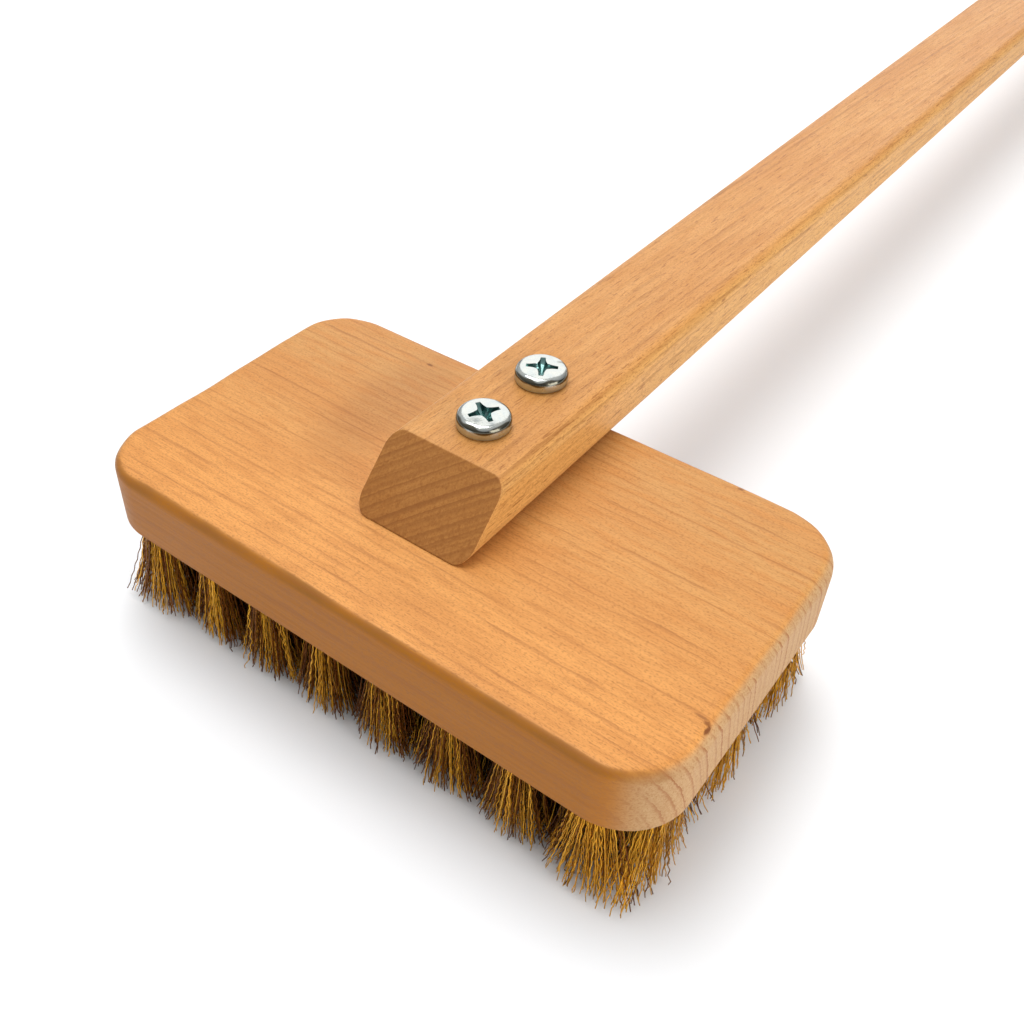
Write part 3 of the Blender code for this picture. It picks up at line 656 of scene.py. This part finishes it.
def screw_mesh(name, place, seat, turn, length):
    """A screw as rings from the recess's bottom, over the head and down the shank to the point.

    The head's face falls from its middle with the square of the radius, and its edge is a quarter
    circle. The thread is a ridge whose place in the pitch turns with the angle, and it rises over
    its first pitch below the plain part.
    """
    corner = math.atan2(recess_tip, recess_arm)
    arm_end = np.linspace(-corner, corner, 5)
    between_arms = np.linspace(corner, math.pi / 2 - corner, 12)[1:-1]
    quarter = np.concatenate([arm_end, between_arms])
    around = (quarter + np.arange(4)[:, None] * math.pi / 2).reshape(-1)
    cross = cross_outline(around)
    circle = np.ones_like(around)
    dome_top = seat + head_height
    face_radius = head_radius - head_edge_radius

    def dome(radius):
        return dome_top - head_dome * (radius / face_radius) ** 2

    rings = [(cross * share, dome(cross * share) - recess_depth * sink) for share, sink in recess_rings]
    for share in face_rings:
        out = cross + (face_radius - cross) * share
        rings.append((out, dome(out)))
    for angle in bend[1:]:
        out = face_radius + head_edge_radius * math.sin(angle)
        fall = head_edge_radius * (1 - math.cos(angle))
        rings.append((out * circle, (dome(face_radius) - fall) * circle))
    for inset, height in foot_rings:
        rings.append(((head_radius - inset) * circle, (seat + height) * circle))
    rings.append((shank_radius * circle, seat * circle))
    for down in np.arange(plain_length, length - point_length, thread_pitch / thread_steps):
        twist = (down / thread_pitch - around / (2 * math.pi)) % 1
        ridge = 1 - np.minimum(np.abs(twist - 0.5) * 4, 1)
        rise = min((down - plain_length) / thread_pitch, 1)
        rings.append((shank_radius - thread_depth * rise * (1 - ridge), (seat - down) * circle))
    waist = point_waist * (shank_radius - thread_depth)
    rings.append((waist * circle, (seat - length + point_length * waist_place) * circle))
    rings.append((blunt_tip * shank_radius * circle, (seat - length) * circle))
    radii = np.array([radius for radius, _ in rings])
    heights = np.array([height for _, height in rings])
    x = place[0] + radii * np.cos(around + turn)
    y = place[1] + radii * np.sin(around + turn)
    points = np.stack([x, y, heights], axis=-1)
    mesh = skin(name, points[::-1])
    mesh.shade_smooth()
    mesh.set_sharp_from_angle(angle=screw_sharp_angle)
    # The recess's points, where the finish paints shade.
    inside = np.arange(len(rings)) < len(recess_rings)
    mesh.attributes.new("recess_shade", "FLOAT", "POINT").data.foreach_set(
        "value", np.repeat(inside[::-1].astype(float), len(around)))
    return mesh


# Bright zinc is a smooth bluish mirror with pits 0.6 mm wide and haze 2 mm wide. Shallow waves, 5 mm
# wide and 13 times as deep as the pits, make its reflections and its two bands wander. The bands are
# painted reflections: a dark one from the shoulder down, then a paler, duller one at the foot. The
# recess is darker and greener: painted shade and a painted reflection.
zinc, tree, shader = new_finish("bright_zinc_plate")
where = add_node(tree, "ShaderNodeTexCoord")
haze = add_node(tree, "ShaderNodeTexNoise", {
    "Vector": where.outputs["Object"], "Scale": 500.0, "Detail": 3.0})
pits = add_node(tree, "ShaderNodeTexNoise", {
    "Vector": where.outputs["Object"], "Scale": 1600.0, "Detail": 2.0})
plate = add_node(tree, "ShaderNodeMix", {
    "Factor": haze.outputs[0], "A": linear("#9CA6A9"), "B": linear("#BEBCB2")}, data_type="RGBA")
rough = add_node(tree, "ShaderNodeMapRange", {
    "Value": haze.outputs[0], "From Min": 0.3, "From Max": 0.7, "To Min": 0.10, "To Max": 0.22})
waves = add_node(tree, "ShaderNodeTexNoise", {
    "Vector": where.outputs["Object"], "Scale": 210.0, "Detail": 0.0})
relief = add_node(tree, "ShaderNodeMath", {0: waves, 1: 13.0, 2: pits}, operation="MULTIPLY_ADD")
bump = add_node(tree, "ShaderNodeBump", {"Strength": 0.5, "Distance": 0.05 * MM, "Height": relief})
height = add_node(tree, "ShaderNodeSeparateXYZ", {0: where.outputs["Object"]}).outputs["Z"]
height = add_node(tree, "ShaderNodeMath", {0: waves, 1: wavy_reflection_band, 2: height}, operation="MULTIPLY_ADD")
shoulder = handle_high[2] + head_height - head_dome + wavy_reflection_band / 2
# Painted reflections: a dark band below the shoulder, then a pale one at the foot.
for below, band_edge, tone in ((0.15 * MM, 0.3 * MM, "#5C594E"), (1.4 * MM, 0.6 * MM, "#C2CCCC")):
    band = add_node(tree, "ShaderNodeMapRange", {
        "Value": height, "From Min": shoulder - below, "From Max": shoulder - below - band_edge},
        interpolation_type="SMOOTHSTEP")
    plate = add_node(tree, "ShaderNodeMix", {"Factor": band, "A": plate, "B": linear(tone)},
                     data_type="RGBA")
foot_reflection_band = band
# Painted shade in the recess, darker and greener with a painted reflection.
inside = add_node(tree, "ShaderNodeAttribute", attribute_name="recess_shade")
plate = add_node(tree, "ShaderNodeMix", {
    "Factor": inside.outputs["Fac"], "A": plate, "B": linear("#668683")}, data_type="RGBA")
tree.links.new(next(s for s in plate.outputs if s.enabled), shader.inputs["Base Color"])
rough = add_node(tree, "ShaderNodeMath", {0: foot_reflection_band, 1: 0.16, 2: rough}, operation="MULTIPLY_ADD")
tree.links.new(rough.outputs[0], shader.inputs["Roughness"])
tree.links.new(bump.outputs[0], shader.inputs["Normal"])
shader.inputs["Metallic"].default_value = 1.0

for name, turn in (("screw_front", math.radians(60)), ("screw_rear", math.radians(30))):
    low_corner, high_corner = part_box(name)
    seat = high_corner[2] - head_height
    mesh = screw_mesh(name + "_zinc", screw_places[name], seat, turn, seat - low_corner[2])
    add_piece(name + "_zinc", mesh, zinc, "zinc_steel", name)

# The floor: plain pale card under the bristle tips. Uncoated card scatters light evenly, so it
# shows soft shadows and no gleam.

floor_half = 4.0
floor_drop = 0.2 * MM
floor_mesh = bpy.data.meshes.new("floor")
floor_mesh.from_pydata([(x * floor_half, y * floor_half, -floor_drop)
                        for x, y in ((-1, -1), (1, -1), (1, 1), (-1, 1))], [], [(0, 1, 2, 3)])
floor = bpy.data.objects.new("floor", floor_mesh)
bpy.context.scene.collection.objects.link(floor)
card, tree, shader = new_finish("pale_card")
shader.inputs["Base Color"].default_value = linear("#EFF1F3")
shader.inputs["Roughness"].default_value = 0.9
floor_mesh.materials.append(card)

# The light: soft boxes overhead, behind the head and low on its right, in a pale room that glows
# most from above.


def soft_box(name, place, aim, size, power):
    """Square area light at a place, turned to its aim."""
    lamp = bpy.data.lights.new(name, "AREA")
    lamp.shape = "SQUARE"
    lamp.size = size
    lamp.energy = power
    box = bpy.data.objects.new(name, lamp)
    box.location = place
    box.rotation_euler = (Vector(aim) - Vector(place)).to_track_quat("-Z", "Y").to_euler()
    bpy.context.scene.collection.objects.link(box)


middle_of_head = (0, head_y, 0.05)
soft_box("box_overhead", (-0.45, head_y + 0.2, 1.75), middle_of_head, 1.0, 17.5)
soft_box("box_behind", (-0.65, head_y + 1.5, 0.85), middle_of_head, 1.5, 9)
soft_box("box_right", (1.35, head_y - 0.15, 0.42), middle_of_head, 0.8, 11.5)
world = bpy.data.worlds.new("pale_room")
bpy.context.scene.world = world
world.use_nodes = True
tree = world.node_tree
way = add_node(tree, "ShaderNodeTexCoord")
brightest_way = Vector((-0.28, 0.18, 0.94)).normalized()
towards = add_node(tree, "ShaderNodeVectorMath", {0: way.outputs["Generated"], 1: brightest_way},
                   operation="DOT_PRODUCT")
glow = add_node(tree, "ShaderNodeMapRange", {
    "Value": towards.outputs["Value"], "From Min": 0.0, "From Max": 0.85, "To Min": 0.26, "To Max": 0.92})
background = tree.nodes["Background"]
background.inputs["Color"].default_value = linear("#FFFFFF")
tree.links.new(glow.outputs[0], background.inputs["Strength"])
bpy.context.scene.view_settings.view_transform = "Standard"

# The camera: solved from the block's and the handle's edges in the photograph, with its focal
# length and the middle of its lens in pixels of the square picture.

image_size = 1024
focal_pixels = 1101.409
principal = (476.688, 496.649)
sensor = 36.0
camera_place = (0.146305, -0.638656, 0.269180)
azimuth, elevation, roll = (math.radians(a) for a in (35.759, 41.225, 1.883))
back_way = Vector((math.sin(azimuth) * math.cos(elevation), -math.cos(azimuth) * math.cos(elevation),
                   math.sin(elevation)))
level = Vector((math.cos(azimuth), math.sin(azimuth), 0))
rise = back_way.cross(level)
right_way = math.cos(roll) * level + math.sin(roll) * rise
up_way = math.cos(roll) * rise - math.sin(roll) * level
lens = bpy.data.cameras.new("camera")
lens.sensor_width = sensor
lens.lens = focal_pixels / image_size * sensor
lens.shift_x = 0.5 - principal[0] / image_size
lens.shift_y = principal[1] / image_size - 0.5
lens.clip_start = 0.01
camera = bpy.data.objects.new("camera", lens)
camera.matrix_world = Matrix.LocRotScale(
    camera_place, Matrix((right_way, up_way, back_way)).transposed(), None)
bpy.context.scene.collection.objects.link(camera)
bpy.context.scene.camera = camera
